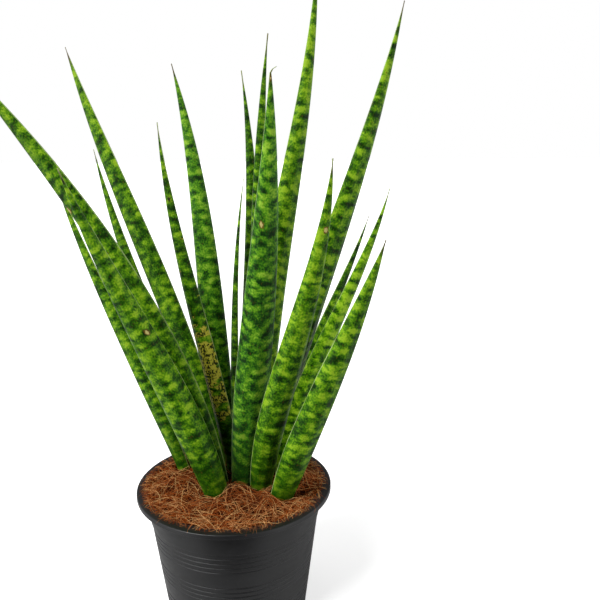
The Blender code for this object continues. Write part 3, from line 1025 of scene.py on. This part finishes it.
@dataclass(frozen=True)
class CoirStrands:
    """One layer of loose strands, each a thin three-sided tube, in millimetres."""

    name: str
    count: int
    length: tuple[float, float]
    radius: tuple[float, float]
    lift: tuple[float, float]
    shade: tuple[float, float]
    place: tuple[float, float] = (0.0, 0.985)  # nearest and farthest from the axis, in radii of the heap
    limit: float = 97.0  # how far from the axis a strand may reach
    curl: float = 0.45  # radians over the whole strand
    tilt: float = 2.4
    joints: int = 8
    sides: int = 3
    on_lip: float = 0.5  # how far inside the heap's edge a strand starts to lie on the lip
    leaf_reach: float = 0.40  # how near a leaf's middle a strand may come, in widths of the leaf
    blunt: float = 0.25  # radians of the taper's sine that are left off at each end

    def build(self, bed: CoirBed, rng: np.random.Generator) -> None:
        """Strew the strands over the heap.

        Args:
            bed: The heap.
            rng: The source of their scatter.
        """
        count, joints = self.count, self.joints
        nearest, farthest = self.place
        away = bed.edge() * np.sqrt(rng.uniform(nearest**2, farthest**2, count))
        round_pot = rng.uniform(0, tau, count)
        heading = rng.uniform(0, tau, count)
        curl = rng.normal(0, self.curl, count)
        length = rng.uniform(*self.length, count)
        steps = np.linspace(-0.5, 0.5, joints)
        turn = heading[:, None] + curl[:, None] * steps[None, :]
        stride = length[:, None] / (joints - 1)
        x = np.cumsum(np.cos(turn) * stride, axis=1)
        y = np.cumsum(np.sin(turn) * stride, axis=1)
        x += (away * np.cos(round_pot))[:, None] - x.mean(axis=1, keepdims=True)
        y += (away * np.sin(round_pot))[:, None] - y.mean(axis=1, keepdims=True)
        rise = rng.uniform(*self.lift, count)
        tilt = rng.normal(0, self.tilt, count)
        arch = np.sin(np.linspace(0, pi, joints))[None, :] * rise[:, None]
        arch = arch + tilt[:, None] * steps[None, :]
        far = np.hypot(x, y)
        squeeze = np.where(far > self.limit, self.limit / np.maximum(far, 1), 1.0)
        x, y = x * squeeze, y * squeeze
        radius = rng.uniform(*self.radius, count)
        on_lip = np.hypot(x, y) > bed.edge() - self.on_lip
        ground = np.where(on_lip, RIM_HEIGHT + radius[:, None], bed.height(x, y))
        z = np.maximum(ground + arch, np.where(on_lip, RIM_HEIGHT + radius[:, None], -np.inf))
        lines = np.stack([x, y, z], axis=2) * MM
        keep = self.clear_of_leaves(lines)
        shades = rng.uniform(*self.shade, count)[keep]
        self.tubes(lines[keep], radius[keep] * MM, shades)

    def clear_of_leaves(self, lines: np.ndarray) -> np.ndarray:
        """Find the strands that pass through no leaf.

        Args:
            lines: One row of points for each strand.

        Returns:
            Whether each strand is clear.
        """
        keep = np.ones(len(lines), bool)
        for leaf in LEAVES:
            share = (RIM_HEIGHT * MM - foot_height(leaf.name)) / (leaf.tip[2] * MM)
            middle = leaf.point(share)
            reach = leaf.width_at(share) * self.leaf_reach * MM
            away = np.hypot(lines[:, :, 0] - middle.x, lines[:, :, 1] - middle.y)
            keep &= ~(away < reach).any(axis=1)
        return keep

    def tubes(self, lines: np.ndarray, radius: np.ndarray, shades: np.ndarray) -> None:
        """Skin every line with a tube that tapers to its ends, all in one piece.

        Args:
            lines: One row of points for each strand.
            radius: Each strand's radius.
            shades: Each strand's shade, from old to split, darker as painted shade low in the tangle
            and lighter as painted light on top.
        """
        count, joints, sides = len(lines), self.joints, self.sides
        along = np.gradient(lines, axis=1)
        along /= np.linalg.norm(along, axis=2, keepdims=True)
        side = np.cross(along, np.array([0.0, 0.0, 1.0]))
        side /= np.maximum(np.linalg.norm(side, axis=2, keepdims=True), 1e-6)
        up = np.cross(side, along)
        taper = np.sin(np.linspace(self.blunt, pi - self.blunt, joints)) ** 0.5
        reach = radius[:, None, None] * taper[None, :, None]
        rings = []
        for index in range(sides):
            angle = tau * index / sides
            rings.append(lines + (side * cos(angle) + up * sin(angle)) * reach)
        points = np.stack(rings, axis=2).reshape(-1, 3)
        faces = []
        for face in ring_faces(joints, sides):
            corners = np.array(face)[None, :] + (np.arange(count) * joints * sides)[:, None]
            faces += [tuple(row) for row in corners.tolist()]
        made = add_piece(self.name, points, faces, CoirFibre(self.name).dress())
        marks = np.zeros((count, joints, sides, 3))
        marks[..., 0] = shades[:, None, None]
        marks[..., 1] = np.arange(joints)[None, :, None]
        add_marks(made, "strand", marks.reshape(-1, 3))


# The shade ranges hold painted shade and light: the low layer is dark as the shade under the others, the top
# layer light
STRAND_LAYERS = (  # name, count, length, radius, lift, shade, place and limit
    CoirStrands("coir_strands_low", 2200, (10, 26), (0.20, 0.36), (-1.2, 0.6), (0.0, 0.2)),
    CoirStrands("coir_strands_middle", 1650, (10, 30), (0.16, 0.30), (0.2, 2.8), (0.05, 0.9)),
    CoirStrands("coir_strands_top", 1050, (14, 42), (0.12, 0.23), (1.2, 5.0), (0.4, 1.0)),
    CoirStrands("coir_strands_rim", 520, (10, 28), (0.14, 0.26), (0.3, 3.2), (0.2, 1.0), (0.93, 1.04), 95.0),
    CoirStrands("coir_strands_loose", 60, (14, 34), (0.10, 0.16), (3, 9), (0.2, 0.9), (0.9, 1.08), 103.0),
)


def dress_node(node: str, finish: Material) -> None:
    """Give a carried-over solid its finish.

    Args:
        node: The solid's node.
        finish: Its material.
    """
    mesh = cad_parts[node].data
    mesh.materials.clear()
    mesh.materials.append(finish)
    LOG.info("%s dressed with %s", node, finish.name)


# Studio


@dataclass(frozen=True)
class Studio:
    """White floor, white surroundings, one soft key light and the camera."""

    camera_at: tuple[float, float, float] = (0.0697, -0.6274, 0.4743)
    camera_tilt: float = 77.37  # degrees from straight down
    camera_roll: float = -0.49
    lens: float = 39.33
    surround: tuple[float, float] = (0.15, 1.2)  # light from front and back, and from both sides
    aside: tuple[float, float] = (0.2, 0.9)  # how far to the side the one ends and the other starts
    sun_strength: float = 3.0
    sun_turn: tuple[float, float] = (42.0, -48.0)  # degrees from straight down, and round Z
    sun_softness: float = 30.0
    floor_size: float = 40.0
    floor_front: float = 0.15  # the white table ends just in front of the pot
    floor_glow: float = 0.55  # the floor is a lit white table
    floor_bounce: str = "#bcbcbc"  # how little of its light reaches the plant
    paper: tuple[str, str] = ("#f5f5f5", "#f8f8f8")
    grain: float = 0.4

    def build(self) -> None:
        """Build the floor, the lights and the camera."""
        self.floor()
        self.lights()
        self.camera()

    def floor(self) -> None:
        """A wide white floor with a very faint paper grain."""
        middle = (0, self.floor_size / 2 - self.floor_front, 0)
        bpy.ops.mesh.primitive_plane_add(size=self.floor_size, location=middle)
        floor = bpy.context.active_object
        floor.name = "floor"
        made, tree, shader = new_material("white_floor")
        add = partial(add_node, tree)
        place = add("TexCoord").outputs["Object"]
        grain = clouds(tree, place, (self.grain, self.grain, self.grain))
        dull, fair = self.paper
        paper = add("Mix", grain, linear(dull), linear(fair), data_type="RGBA")
        seen = add("LightPath").outputs["Is Camera Ray"]
        colour = add("Mix", seen, linear(self.floor_bounce), paper, data_type="RGBA")
        glow = add("Math", seen, self.floor_glow, operation="MULTIPLY")
        lit = {"Emission Color": (1, 1, 1, 1), "Emission Strength": glow}
        fill(tree, shader, {"Base Color": colour, "Roughness": 0.9, "Specular IOR Level": 0.0} | lit)
        floor.data.materials.append(made)

    def lights(self) -> None:
        """White surroundings that light more from the sides, and a soft sun from the upper left, in front."""
        world = bpy.data.worlds.new("surroundings")
        world.use_nodes = True
        tree = world.node_tree
        add = partial(add_node, tree)
        heading = add("TexCoord").outputs["Generated"]
        aside = add("Math", add("SeparateXYZ", heading), operation="ABSOLUTE")
        span = (*self.aside, *self.surround)
        glow = add("MapRange", aside, *span, interpolation_type="SMOOTHSTEP")
        seen = add("LightPath").outputs["Is Camera Ray"]
        bright = add("Math", glow, seen, operation="MAXIMUM")
        fill(tree, tree.nodes["Background"], {"Color": (1, 1, 1, 1), "Strength": bright})
        bpy.context.scene.world = world
        data = bpy.data.lights.new("key", "SUN")
        data.energy = self.sun_strength
        data.angle = radians(self.sun_softness)
        key = bpy.data.objects.new("key", data)
        key.rotation_euler = (radians(self.sun_turn[0]), 0, radians(self.sun_turn[1]))
        bpy.context.scene.collection.objects.link(key)

    def camera(self) -> None:
        """The camera, a little above the leaves' middle and looking slightly down."""
        data = bpy.data.cameras.new("camera")
        data.sensor_width = 36
        data.lens = self.lens
        data.clip_start = 0.01
        camera = bpy.data.objects.new("camera", data)
        tilt = Matrix.Rotation(radians(self.camera_tilt), 4, "X")
        roll = Matrix.Rotation(radians(self.camera_roll), 4, "Z")
        camera.matrix_world = Matrix.Translation(self.camera_at) @ tilt @ roll
        bpy.context.scene.collection.objects.link(camera)
        bpy.context.scene.camera = camera
        bpy.context.scene.view_settings.view_transform = "Standard"


def main() -> None:
    """Build the studio, the pot, what fills it and the leaves."""
    logging.basicConfig(level=logging.INFO, format="%(relativeCreated)d %(message)s")
    Studio().build()
    pot = NurseryPot()
    pot.build()
    dress_node("potting_mix", COMPOST.dress())
    dress_node("rhizome", ROOTSTOCK.dress())
    CoirBed(pot).build()
    LeafClump().build()


if __name__ == "__main__":
    main()
